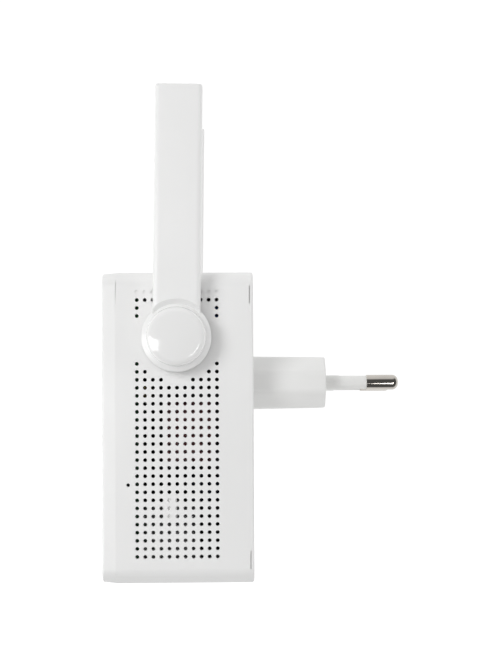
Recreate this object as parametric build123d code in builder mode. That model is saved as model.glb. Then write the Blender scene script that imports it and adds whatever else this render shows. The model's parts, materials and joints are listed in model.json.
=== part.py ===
from build123d import *

import os
from math import asin, cos, radians, sin, sqrt

# Plug-in wireless range extender with two folding side antennas, in millimetres.
# +Z is up, the front faces -Y and the mains plug points along +Y.
# The origin is at the bottom centre of the case, on its wall-side face.

SIDES = {"right": 1, "left": -1}

# Case
BODY_WIDTH = 56.0
BODY_HEIGHT = 79.3
BODY_DEPTH = 38.6
CORNER_RADIUS = 4.0
WALL = 1.8
COVER_DEPTH = 3.45
COVER_STEP = 0.05
COVER_TAPER = 6.5
COVER_EDGE_RADIUS = 0.6
COVER_LIP = 1.5
LIP_THICKNESS = 1.2
BACK_RIM = 0.8
BACK_EDGE_RADIUS = 0.65
BACK_PLATE = 1.6
BACK_LIP = 0.8
FIT_GAP = 0.1
CAVITY_WIDTH = BODY_WIDTH - 2 * WALL
CAVITY_HEIGHT = BODY_HEIGHT - 2 * WALL
BODY_MIDDLE = BODY_HEIGHT / 2
COVER_SEAM = BODY_DEPTH - COVER_DEPTH

# Snap bumps of both covers and their pockets in the side walls
SNAP_HEIGHTS = (18.0, 46.0)
SNAP_LENGTH = 6.0
SNAP_BUMP = 0.35
SNAP_WIDTH = 0.7

# Side vents: a square grid of small holes, plain around the antenna hub
VENT_RADIUS = 0.5
VENT_PITCH = 2.034
VENT_COLUMNS = 11
VENT_ROWS = 33
VENT_BOTTOM = 6.95
VENT_PLAIN_RADIUS = 11.2
DIMPLE_DEPTH = 0.35
STRIP_FRONT = 2.8
STRIP_BACK = 0.15
STRIP_BOTTOM = 16.3
STRIP_TOP = 21.8
STRIP_SINK = 0.7
STRIP_REACH = 2.2
BOTTOM_SLOTS = 5
BOTTOM_SLOT_PITCH = 2.6
BOTTOM_SLOT_LENGTH = 12.0
BOTTOM_SLOT_WIDTH = 1.1
BOTTOM_SLOT_X = 17.9

# Pry slots between the housing and the back cover, and the wedge gaps at the front seam's corners
PRY_LENGTH = 4.6
PRY_INSET = 3.7
PRY_WIDTH = 0.28
PRY_DEPTH = 0.6
SEAM_GAP_WIDTH = 0.2
SEAM_GAP_DEPTH = 0.5
SEAM_GAP_TOP = 9.5
SEAM_GAP_BOTTOM = 3.6

# Antenna hinge and arms; "out" distances are counted from the case's side wall
HUB_Y = -19.5
HUB_Z = 62.4
TOP = 126.4
ANTENNA_LEAN = 0.8
ARM_WIDTH = 12.0
ARM_CORNER_RISE = ARM_WIDTH / 2 * sin(radians(ANTENNA_LEAN))
ARM_LENGTH = (TOP - HUB_Z - ARM_CORNER_RISE) / cos(radians(ANTENNA_LEAN))
ARM_TOP_RADIUS = 0.6
ARM_EDGE_RADIUS = 1.3
ARM_BACK_EDGE_RADIUS = 0.8
ARM_BACK = 0.6
ARM_SPLIT = 3.2
ARM_FACE = 7.0
ARM_SKIN = 1.2
CAP_OUT = 9.0
CAP_RADIUS = 7.5
CAP_CROWN_RADIUS = 45.0
CAP_RIM_RADIUS = 1.9
CAP_STEM_WALL = 1.2
CAP_STEM_START = 4.4
COLLAR_RADIUS = 8.8
COLLAR_TOP = 6.2
COLLAR_EDGE = 5.1
COLLAR_BORE = 6.0
VALLEY_FLOOR = 5.6
VALLEY_RADIUS = 8.2
ARM_END_RADIUS = 9.4
ARM_HOLLOW_START = 9.6
LEAD_SLOT_WIDTH = 2.6
LEAD_SLOT_OUT = 4.75
SHAFT_RADIUS = 3.95
HINGE_HOLE_RADIUS = 4.0
LEAD_BORE = 1.3
BOSS_RADIUS = 7.0
BOSS_LENGTH = 1.4
THRUST_RING_RADIUS = 5.5
SHAFT_FLANGE_RADIUS = 5.2
SHAFT_FLANGE_OUT = 3.0
SHAFT_END = -5.6
WASHER_RADIUS = 6.4
WASHER_THICKNESS = 0.6
THRUST_GAP = 0.05
CLIP_THICKNESS = 0.8
CLIP_RADIUS = 6.0
GROOVE_RADIUS = 3.3
CLIP_MOUTH = 4.4
RADIATOR_WIDTH = 8.6
RADIATOR_START = 13.0
RADIATOR_END = 60.0
RADIATOR_THICKNESS = 0.8
RADIATOR_OUT = 2.6
RIB_ALONG = (17.0, 56.0)
LEAD_RADIUS = 0.6
LEAD_BEND = 2.2
LEAD_START = 15.0
LEAD_PLUG_X = 13.5
LEAD_PLUG_Z = 48.0
LEAD_PLUG_LIFT = 0.75
LEAD_PLUG_CRIMP = 2.6
LEAD_DROP_X = 4.0
LEAD_DROP_Z = 9.0
LEAD_CORNER = 3.0

# Mains plug
PIN_Z = 51.15
PIN_SPACING = 19.0
PIN_RADIUS = 2.0
PIN_LENGTH = 19.6
PIN_TIP = 8.4
PIN_NOSE_RADIUS = 1.6
PIN_CORE_RADIUS = 1.4
SLEEVE_RADIUS = 1.78
SLEEVE_COLLAR_RADIUS = 1.9
SLEEVE_COLLAR = 3.8
PIN_TAIL = 0.6
PLUG_LENGTH = 19.2
PLUG_WIDTH = 35.3
PLUG_HEIGHT = 13.8
PLUG_FLAT = 26.1
PLUG_END_HEIGHT = 5.2
PLUG_DRAFT = 0.25
PLUG_WALL = 2.0
PLUG_END_WALL = 3.0
PLUG_CORNER_RADIUS = 2.5
PLUG_EDGE_RADIUS = 0.5
PLUG_FLANGE = 2.5
PLUG_FLANGE_THICKNESS = 1.4

# Limits for picking edges
LENGTHWISE = 0.98
TOLERANCE = 0.01

# Circuit boards
BOARD_THICKNESS = 1.6
BOARD_CORNER = 1.5
MAIN_BOARD_FRONT = 30.3
MAIN_BOARD_BACK = MAIN_BOARD_FRONT - BOARD_THICKNESS
MAIN_BOARD_WIDTH = 49.2
MAIN_BOARD_BOTTOM = 4.0
MAIN_BOARD_TOP = 75.0
POWER_BOARD_FRONT = 6.0
POWER_BOARD_BACK = POWER_BOARD_FRONT - BOARD_THICKNESS
POWER_BOARD_WIDTH = 46.0
POWER_BOARD_BOTTOM = 19.0
POWER_BOARD_TOP = 74.0
FILM_X = 23.2
FILM_THICKNESS = 0.3
FILM_HOLE_RADIUS = 8.0
SHEET_BACK = 3.5
SHEET_THICKNESS = 0.3
SHEET_MARGIN = 0.4
MAIN_SCREWS = ((-20.5, 8.5), (20.5, 8.5), (-20.5, 71.0), (20.5, 71.0))
POWER_SCREWS = ((-19.5, 22.5), (19.5, 22.5), (-19.5, 70.5), (19.5, 70.5))
SCREW_RADIUS = 0.95
SCREW_HEAD_RADIUS = 1.9
SCREW_HEAD_HEIGHT = 1.4
SCREW_REACH = 4.0
CROSS_LENGTH = 2.2
CROSS_WIDTH = 0.5
CROSS_DEPTH = 0.7
PILOT_RADIUS = 1.0
POST_RADIUS = 2.4
BOARD_HOLE_RADIUS = 1.1

# Front controls
BUTTON_Z = 24.0
BUTTON_RADIUS = 5.8
BUTTON_GAP = 0.25
BUTTON_FLANGE_RADIUS = 7.0
BUTTON_FLANGE_THICKNESS = 0.8
BUTTON_SINK = 0.05
FLANGE_PLAY = 0.2
SWITCH_SIZE = 6.2
SWITCH_HEIGHT = 3.5
SWITCH_STEM_RADIUS = 1.7
SWITCH_STEM_LENGTH = 2.4
SWITCH_STEM_PROUD = 1.2
SWITCH_WELL_RADIUS = 1.85
SWITCH_WELL_DEPTH = 1.8
LIGHT_Z = 66.0
LIGHT_XS = (-9.0, -3.0, 3.0, 9.0)
LIGHT_RADIUS = 1.1

# Reset control on the right side
RESET_Y = -31.95
RESET_Z = 25.05
RESET_HOLE_RADIUS = 0.45
RESET_STEM_RADIUS = 0.8
RESET_WELL_RADIUS = 0.95
RESET_SWITCH_DEPTH = 3.1
RESET_SWITCH_X = (19.5, 24.0)
RESET_STEM_X = (22.4, 25.0)
RESET_WELL_X = 21.8

# Network socket in the bottom
SOCKET_WIDTH = 15.4
SOCKET_DEPTH = 13.0
SOCKET_LENGTH = 18.0
SOCKET_FACE = 0.4
SHIELD_THICKNESS = 0.25
SOCKET_Y = -MAIN_BOARD_BACK + SHIELD_THICKNESS + SOCKET_DEPTH / 2
SOCKET_MOUTH_WIDTH = 11.7
SOCKET_MOUTH_DEPTH = 7.0
SOCKET_MOUTH_SHIFT = 0.4
SOCKET_MOUTH_Y = SOCKET_Y - SOCKET_MOUTH_SHIFT
SOCKET_HOLLOW = 13.0
LATCH_SLOTS = ((6.3, 1.3), (3.3, 2.4))
CONTACT_COUNT = 8
CONTACT_PITCH = 1.02
CONTACT_WIDTH = 0.36

# Parts on the main board, as (x, z) places where there are several
CHIP_Z = 44.0
CHIP_SIZE = 12.0
CHIP_HEIGHT = 1.2
PAD_HEIGHT = 0.5
PAD_SIZE = 11.0
HEATSINK_SIZE = 21.0
HEATSINK_BASE = 1.0
HEATSINK_FINS = 7
HEATSINK_FIN_PITCH = 3.2
HEATSINK_FIN_WIDTH = 1.0
HEATSINK_FIN_HEIGHT = 2.6
SHIELD_CAN_X = 17.6
SHIELD_CAN_Z = 60.0
SHIELD_CAN_WIDTH = 12.0
SHIELD_CAN_HEIGHT = 2.4
SHIELD_CAN_CORNER = 0.8
MEMORY_CHIPS = ((-17.0, 40.0, 8.0, 10.5), (16.5, 38.0, 5.2, 5.2))
LED_LENGTH = 1.6
LED_WIDTH = 0.8
LED_HEIGHT = 0.7
GUIDE_BAR = 1.1
GUIDE_WIDTH = 3.3
BUTTON_EDGE_RADIUS = 0.4
MAGNETICS_Z = 24.0
MAGNETICS_WIDTH = 14.0
MAGNETICS_LENGTH = 7.0
MAGNETICS_HEIGHT = 3.4

# Parts on the power board, as (x, z) places
TRANSFORMER_X = 15.5
TRANSFORMER_Z = 38.4
BOBBIN_HEIGHT = 2.2
WINDING_WIDTH = 14.0
WINDING_HEIGHT = 15.6
WINDING_LENGTH = 12.0
WINDING_CORNER = 2.0
CORE_WIDTH = 7.0
CORE_LEG = 2.0
CORE_CENTRE_LEG = 5.0
CAN_EDGE_RADIUS = 0.6
INPUT_CAPACITORS = ((-16.0, 31.0), (-16.0, 41.0))
INPUT_CAN_RADIUS = 4.0
INPUT_CAN_LENGTH = 13.5
OUTPUT_CAPACITOR = (11.5, 23.6)
OUTPUT_CAN_RADIUS = 4.0
OUTPUT_CAN_LENGTH = 11.0
FILTER_CHOKE = (-16.0, 51.5)
CHOKE_RADIUS = 4.2
CHOKE_LENGTH = 9.0
CHOKE_FLANGE = 1.4
BRIDGE = (-3.0, 62.0)
BRIDGE_WIDTH = 8.5
BRIDGE_HEIGHT = 6.5
BRIDGE_DEPTH = 2.6
BRIDGE_CHAMFER = 0.3
FUSE = (8.0, 62.5)
FUSE_RADIUS = 1.7
FUSE_LENGTH = 8.5
FUSE_EDGE_RADIUS = 0.8
SAFETY_CAPACITOR = (-2.0, 69.5)
SAFETY_RADIUS = 3.8
SAFETY_THICKNESS = 3.2
SAFETY_EDGE_RADIUS = 1.2
CONTROL_CHIP = (-4.0, 26.0)
CONTROL_CHIP_SIZE = 4.8
HEADER_BLOCK = 2.5
HEADER_PIN_WIDTH = 0.64
HEADER_X = -6.5
HEADER_Z = 38.0
HEADER_PINS = 4
HEADER_PITCH = 2.0


def facing_front(depth):
    """A plane seen from the front, that far in front of the wall-side face; it extrudes forwards."""
    return Plane.XZ.offset(depth)


def facing_wall(depth):
    """The same plane turned round: it extrudes backwards, and its first direction is -X."""
    return Plane(origin=(0, -depth, 0), x_dir=(-1, 0, 0), z_dir=(0, 1, 0))


def facing_side(side, x):
    """A plane parallel to a side wall, which extrudes outwards. A point (y, z) is (side * y, z) on it."""
    return Plane(origin=(side * x, 0, 0), x_dir=(0, side, 0), z_dir=(side, 0, 0))


def on_arm(side, out):
    """A plane across the hinge axis, with its second direction along the leaning antenna arm."""
    lean = radians(ANTENNA_LEAN)
    return Plane(
        origin=(side * (BODY_WIDTH / 2 + out), HUB_Y, HUB_Z),
        x_dir=(0, side * cos(lean), -side * sin(lean)),
        z_dir=(side, 0, 0),
    )


def vent_points(side, rows):
    """Centres of the vents of one side wall on the given rows, without the plain field at the hub."""
    points = []
    for row in rows:
        for column in range(VENT_COLUMNS):
            y = HUB_Y + (column - (VENT_COLUMNS - 1) / 2) * VENT_PITCH
            z = VENT_BOTTOM + row * VENT_PITCH
            if (y - HUB_Y) ** 2 + (z - HUB_Z) ** 2 > VENT_PLAIN_RADIUS**2:
                points.append((side * y, z))
    return points


def plug_outline(shrink):
    """The flattened hexagon of the plug, with every side moved in by the given distance."""
    half_width = PLUG_WIDTH / 2 - shrink
    half_height = PLUG_HEIGHT / 2 - shrink
    half_flat = PLUG_FLAT / 2 - shrink / 2
    half_end = PLUG_END_HEIGHT / 2 - shrink / 4
    corners = (
        (half_flat, half_height),
        (half_width, half_end),
        (half_width, -half_end),
        (half_flat, -half_height),
        (-half_flat, -half_height),
        (-half_width, -half_end),
        (-half_width, half_end),
        (-half_flat, half_height),
    )
    return [(x, PIN_Z + z) for x, z in corners]


def across_arm(side):
    """A plane square to the arm at the hub: its first direction is outwards, and it extrudes up the arm."""
    lean = radians(ANTENNA_LEAN)
    return Plane(
        origin=(side * BODY_WIDTH / 2, HUB_Y, HUB_Z),
        x_dir=(side, 0, 0),
        z_dir=(0, sin(lean), cos(lean)),
    )


def through_hub(side):
    """A plane through the hinge axis: its first direction is outwards and its second is up."""
    return Plane(
        origin=(side * BODY_WIDTH / 2, HUB_Y, HUB_Z), x_dir=(side, 0, 0), z_dir=(0, -side, 0)
    )


def clear_of(edges, out):
    """The edges that lie away from the plane at that outward distance."""
    return edges.filter_by(lambda edge: abs(abs(edge.center().X) - BODY_WIDTH / 2 - out) > TOLERANCE)


def can(x, z, radius, length):
    """A round component standing on the power board, with a softened top edge."""
    with BuildPart() as body:
        with BuildSketch(facing_front(POWER_BOARD_FRONT)):
            with Locations((x, z)):
                Circle(radius)
        extrude(amount=length)
        fillet(body.faces().sort_by(Axis.Y)[0].edges(), CAN_EDGE_RADIUS)
    return body.part


def save(piece, name):
    """Labels a finished piece and writes it."""
    piece.part.label = name
    export_step(piece.part, f"parts/{name}.step")


os.makedirs("parts", exist_ok=True)

# Housing: the sleeve that makes the four outer walls, with its grille, hinge holes and socket opening
with BuildPart() as housing:
    with BuildSketch(facing_front(BACK_RIM)):
        with Locations((0, BODY_MIDDLE)):
            RectangleRounded(BODY_WIDTH, BODY_HEIGHT, CORNER_RADIUS)
            RectangleRounded(
                CAVITY_WIDTH, CAVITY_HEIGHT, CORNER_RADIUS - WALL, mode=Mode.SUBTRACT
            )
    extrude(amount=COVER_SEAM - BACK_RIM)
    for side in SIDES.values():
        with BuildSketch(facing_side(side, BODY_WIDTH / 2)):
            with Locations(vent_points(side, range(VENT_ROWS))):
                Circle(VENT_RADIUS)
        extrude(amount=-WALL, mode=Mode.SUBTRACT)
        with BuildSketch(facing_side(side, BODY_WIDTH / 2)):
            with Locations(vent_points(side, [VENT_ROWS])):
                Circle(VENT_RADIUS)
        extrude(amount=-DIMPLE_DEPTH, mode=Mode.SUBTRACT)
        with BuildSketch(facing_side(side, CAVITY_WIDTH / 2)):
            with Locations((side * HUB_Y, HUB_Z)):
                Circle(BOSS_RADIUS)
        extrude(amount=-BOSS_LENGTH)
        with BuildSketch(facing_side(side, BODY_WIDTH / 2)):
            with Locations((side * HUB_Y, HUB_Z)):
                Circle(HINGE_HOLE_RADIUS)
        extrude(amount=-(WALL + BOSS_LENGTH), mode=Mode.SUBTRACT)
        # A rib closes three of the vents from the inside, and part of the next column.
        rib_y = HUB_Y - (STRIP_FRONT + STRIP_BACK) / 2
        with BuildSketch(facing_side(side, BODY_WIDTH / 2 - STRIP_SINK)):
            with Locations((side * rib_y, (STRIP_BOTTOM + STRIP_TOP) / 2)):
                Rectangle(STRIP_FRONT - STRIP_BACK, STRIP_TOP - STRIP_BOTTOM)
        extrude(amount=-(WALL - STRIP_SINK + STRIP_REACH))
        # Pry slots at the rear edge, near the top and the bottom corner
        with BuildSketch(facing_side(side, BODY_WIDTH / 2)):
            for height in (PRY_INSET, BODY_HEIGHT - PRY_INSET - PRY_LENGTH):
                with Locations((-side * (BACK_RIM + PRY_WIDTH / 2), height + PRY_LENGTH / 2)):
                    Rectangle(PRY_WIDTH, PRY_LENGTH)
        extrude(amount=-PRY_DEPTH, mode=Mode.SUBTRACT)
        # The front seam opens a little towards its corners.
        with BuildSketch(facing_side(side, BODY_WIDTH / 2)):
            with BuildLine():
                Polyline(
                    (-side * COVER_SEAM, BODY_HEIGHT),
                    (-side * (COVER_SEAM - SEAM_GAP_WIDTH), BODY_HEIGHT),
                    (-side * COVER_SEAM, BODY_HEIGHT - SEAM_GAP_TOP),
                    close=True,
                )
            make_face()
            with BuildLine():
                Polyline(
                    (-side * COVER_SEAM, 0),
                    (-side * (COVER_SEAM - SEAM_GAP_WIDTH), 0),
                    (-side * COVER_SEAM, SEAM_GAP_BOTTOM),
                    close=True,
                )
            make_face()
        extrude(amount=-SEAM_GAP_DEPTH, mode=Mode.SUBTRACT)
        # Snap pockets for the lips of both covers
        with BuildSketch(facing_side(side, CAVITY_WIDTH / 2)):
            for depth in (COVER_SEAM - COVER_LIP / 2, BACK_PLATE):
                for height in SNAP_HEIGHTS:
                    with Locations((-side * depth, height)):
                        Rectangle(SNAP_WIDTH + 2 * FIT_GAP, SNAP_LENGTH + 2 * FIT_GAP)
        extrude(amount=SNAP_BUMP + FIT_GAP, mode=Mode.SUBTRACT)
    with BuildSketch(facing_side(1, BODY_WIDTH / 2)):
        with Locations((RESET_Y, RESET_Z)):
            Circle(RESET_HOLE_RADIUS)
    extrude(amount=-WALL, mode=Mode.SUBTRACT)
    with BuildSketch(Plane.XY):
        with Locations((0, SOCKET_Y)):
            Rectangle(
                SOCKET_WIDTH + 2 * (SHIELD_THICKNESS + FIT_GAP),
                SOCKET_DEPTH + 2 * (SHIELD_THICKNESS + FIT_GAP),
            )
        for side in SIDES.values():
            for slot in range(BOTTOM_SLOTS):
                depth = (slot - (BOTTOM_SLOTS - 1) / 2) * BOTTOM_SLOT_PITCH
                with Locations((side * BOTTOM_SLOT_X, SOCKET_Y + depth)):
                    Rectangle(BOTTOM_SLOT_LENGTH, BOTTOM_SLOT_WIDTH)
    extrude(amount=WALL, mode=Mode.SUBTRACT)
save(housing, "housing")

# Front cover: the face plate with its skirt, the lip that enters the housing, and four screw posts
with BuildPart() as front_cover:
    with BuildSketch(facing_front(COVER_SEAM)):
        with Locations((0, BODY_MIDDLE)):
            RectangleRounded(
                BODY_WIDTH - 2 * COVER_STEP,
                BODY_HEIGHT - 2 * COVER_STEP,
                CORNER_RADIUS - COVER_STEP,
            )
    extrude(amount=COVER_DEPTH, taper=COVER_TAPER)
    fillet(front_cover.faces().sort_by(Axis.Y)[0].edges(), COVER_EDGE_RADIUS)
    with BuildSketch(facing_front(COVER_SEAM - COVER_LIP)):
        with Locations((0, BODY_MIDDLE)):
            RectangleRounded(
                CAVITY_WIDTH - 2 * FIT_GAP,
                CAVITY_HEIGHT - 2 * FIT_GAP,
                CORNER_RADIUS - WALL - FIT_GAP,
            )
    extrude(amount=COVER_LIP)
    for side in SIDES.values():
        with BuildSketch(facing_side(side, CAVITY_WIDTH / 2 - FIT_GAP)):
            for height in SNAP_HEIGHTS:
                with Locations((-side * (COVER_SEAM - COVER_LIP / 2), height)):
                    Rectangle(SNAP_WIDTH, SNAP_LENGTH)
        extrude(amount=SNAP_BUMP)
    with BuildSketch(facing_front(COVER_SEAM - COVER_LIP)):
        with Locations((0, BODY_MIDDLE)):
            RectangleRounded(
                CAVITY_WIDTH - 2 * (FIT_GAP + LIP_THICKNESS),
                CAVITY_HEIGHT - 2 * (FIT_GAP + LIP_THICKNESS),
                CORNER_RADIUS - WALL - FIT_GAP - LIP_THICKNESS,
            )
    extrude(amount=COVER_LIP + COVER_DEPTH - WALL, mode=Mode.SUBTRACT)
    with BuildSketch(facing_front(MAIN_BOARD_FRONT)):
        with Locations(*MAIN_SCREWS):
            Circle(POST_RADIUS)
            Circle(PILOT_RADIUS, mode=Mode.SUBTRACT)
    extrude(amount=BODY_DEPTH - WALL - MAIN_BOARD_FRONT)
    with BuildSketch(facing_front(BODY_DEPTH)):
        with Locations((0, BUTTON_Z)):
            Circle(BUTTON_RADIUS + BUTTON_GAP)
        with Locations([(x, LIGHT_Z) for x in LIGHT_XS]):
            Circle(LIGHT_RADIUS)
    extrude(amount=-WALL, mode=Mode.SUBTRACT)
save(front_cover, "front_cover")

# Back cover: the plate against the wall, with the plug opening and four board posts
with BuildPart() as back_cover:
    with BuildSketch(facing_front(0)):
        with Locations((0, BODY_MIDDLE)):
            RectangleRounded(BODY_WIDTH, BODY_HEIGHT, CORNER_RADIUS)
    extrude(amount=BACK_RIM)
    fillet(back_cover.faces().sort_by(Axis.Y)[-1].edges(), BACK_EDGE_RADIUS)
    with BuildSketch(facing_front(BACK_RIM)):
        with Locations((0, BODY_MIDDLE)):
            RectangleRounded(
                CAVITY_WIDTH - 2 * FIT_GAP,
                CAVITY_HEIGHT - 2 * FIT_GAP,
                CORNER_RADIUS - WALL - FIT_GAP,
            )
    extrude(amount=BACK_PLATE + BACK_LIP - BACK_RIM)
    for side in SIDES.values():
        with BuildSketch(facing_side(side, CAVITY_WIDTH / 2 - FIT_GAP)):
            for height in SNAP_HEIGHTS:
                with Locations((-side * BACK_PLATE, height)):
                    Rectangle(SNAP_WIDTH, SNAP_LENGTH)
        extrude(amount=SNAP_BUMP)
    with BuildSketch(facing_front(BACK_PLATE)):
        with Locations((0, BODY_MIDDLE)):
            RectangleRounded(
                CAVITY_WIDTH - 2 * (FIT_GAP + LIP_THICKNESS),
                CAVITY_HEIGHT - 2 * (FIT_GAP + LIP_THICKNESS),
                CORNER_RADIUS - WALL - FIT_GAP - LIP_THICKNESS,
            )
    extrude(amount=BACK_LIP, mode=Mode.SUBTRACT)
    with BuildSketch(facing_front(BACK_PLATE)):
        with Locations(*POWER_SCREWS):
            Circle(POST_RADIUS)
            Circle(PILOT_RADIUS, mode=Mode.SUBTRACT)
    extrude(amount=POWER_BOARD_BACK - BACK_PLATE)
    with BuildSketch(facing_front(0)):
        with BuildLine():
            Polyline(plug_outline(-FIT_GAP / 2), close=True)
        make_face()
    extrude(amount=BACK_PLATE, mode=Mode.SUBTRACT)
save(back_cover, "back_cover")

# Plug body: the hollow boss that holds the two pins, clamped behind the back cover by its flange
with BuildPart() as plug_body:
    with BuildSketch(facing_wall(0)):
        with BuildLine():
            Polyline(plug_outline(0), close=True)
        make_face()
    with BuildSketch(facing_wall(-PLUG_LENGTH)):
        with BuildLine():
            Polyline(plug_outline(PLUG_DRAFT), close=True)
        make_face()
    loft()
    long_edges = plug_body.edges().filter_by(lambda edge: abs(edge.tangent_at(0).Y) > LENGTHWISE)
    fillet(long_edges, PLUG_CORNER_RADIUS)
    fillet(plug_body.faces().sort_by(Axis.Y)[-1].edges(), PLUG_EDGE_RADIUS)
    with BuildSketch(facing_front(0)):
        with BuildLine():
            Polyline(plug_outline(0), close=True)
        make_face()
    extrude(amount=BACK_PLATE)
    with BuildSketch(facing_front(BACK_PLATE)):
        with BuildLine():
            Polyline(plug_outline(-PLUG_FLANGE), close=True)
        make_face()
    extrude(amount=PLUG_FLANGE_THICKNESS)
    with BuildSketch(facing_wall(BACK_PLATE + PLUG_FLANGE_THICKNESS)):
        with BuildLine():
            Polyline(plug_outline(PLUG_WALL), close=True)
        make_face()
    extrude(amount=BACK_PLATE + PLUG_FLANGE_THICKNESS + PLUG_LENGTH - PLUG_END_WALL, mode=Mode.SUBTRACT)
    with BuildSketch(facing_wall(0)):
        with Locations((-PIN_SPACING / 2, PIN_Z), (PIN_SPACING / 2, PIN_Z)):
            Circle(SLEEVE_RADIUS + PLUG_WALL)
    extrude(amount=PLUG_LENGTH - PLUG_END_WALL)
    with BuildSketch(facing_wall(0)):
        with Locations((-PIN_SPACING / 2, PIN_Z), (PIN_SPACING / 2, PIN_Z)):
            Circle(SLEEVE_RADIUS)
    extrude(amount=PLUG_LENGTH, mode=Mode.SUBTRACT)
save(plug_body, "plug_body")

# Contact pins and their insulating sleeves
PIN_END = PLUG_LENGTH + PIN_LENGTH
TIP_START = PIN_END - PIN_TIP
for name, side in SIDES.items():
    with BuildPart() as contact_pin:
        with BuildSketch(facing_wall(POWER_BOARD_FRONT + PIN_TAIL)):
            with Locations((-side * PIN_SPACING / 2, PIN_Z)):
                Circle(PIN_CORE_RADIUS)
        extrude(amount=POWER_BOARD_FRONT + PIN_TAIL + TIP_START)
        with BuildSketch(facing_wall(-TIP_START)):
            with Locations((-side * PIN_SPACING / 2, PIN_Z)):
                Circle(PIN_RADIUS)
        extrude(amount=PIN_TIP)
        fillet(contact_pin.faces().sort_by(Axis.Y)[-1].edges(), PIN_NOSE_RADIUS)
    save(contact_pin, f"contact_pin_{name}")

    with BuildPart() as pin_sleeve:
        with BuildSketch(facing_wall(0)):
            with Locations((-side * PIN_SPACING / 2, PIN_Z)):
                Circle(SLEEVE_RADIUS)
                Circle(PIN_CORE_RADIUS, mode=Mode.SUBTRACT)
        extrude(amount=TIP_START)
        with BuildSketch(facing_wall(-PLUG_LENGTH)):
            with Locations((-side * PIN_SPACING / 2, PIN_Z)):
                Circle(SLEEVE_COLLAR_RADIUS)
                Circle(PIN_CORE_RADIUS, mode=Mode.SUBTRACT)
        extrude(amount=SLEEVE_COLLAR)
    save(pin_sleeve, f"pin_sleeve_{name}")


# Antennas: two shells round a radiator board, a cap on the hub, and a hollow shaft for the hinge
HINGE_AXIS = Axis((0, HUB_Y, HUB_Z), (1, 0, 0))
WASHER_OUT = -(WALL + BOSS_LENGTH + THRUST_GAP)
CLIP_OUT = WASHER_OUT - WASHER_THICKNESS
CAP_RIM_CENTRE = CAP_OUT - CAP_CROWN_RADIUS + sqrt(
    (CAP_CROWN_RADIUS - CAP_RIM_RADIUS) ** 2 - (CAP_RADIUS - CAP_RIM_RADIUS) ** 2
)
CAP_RIM_ANGLE = asin((CAP_RADIUS - CAP_RIM_RADIUS) / (CAP_CROWN_RADIUS - CAP_RIM_RADIUS))

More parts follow.
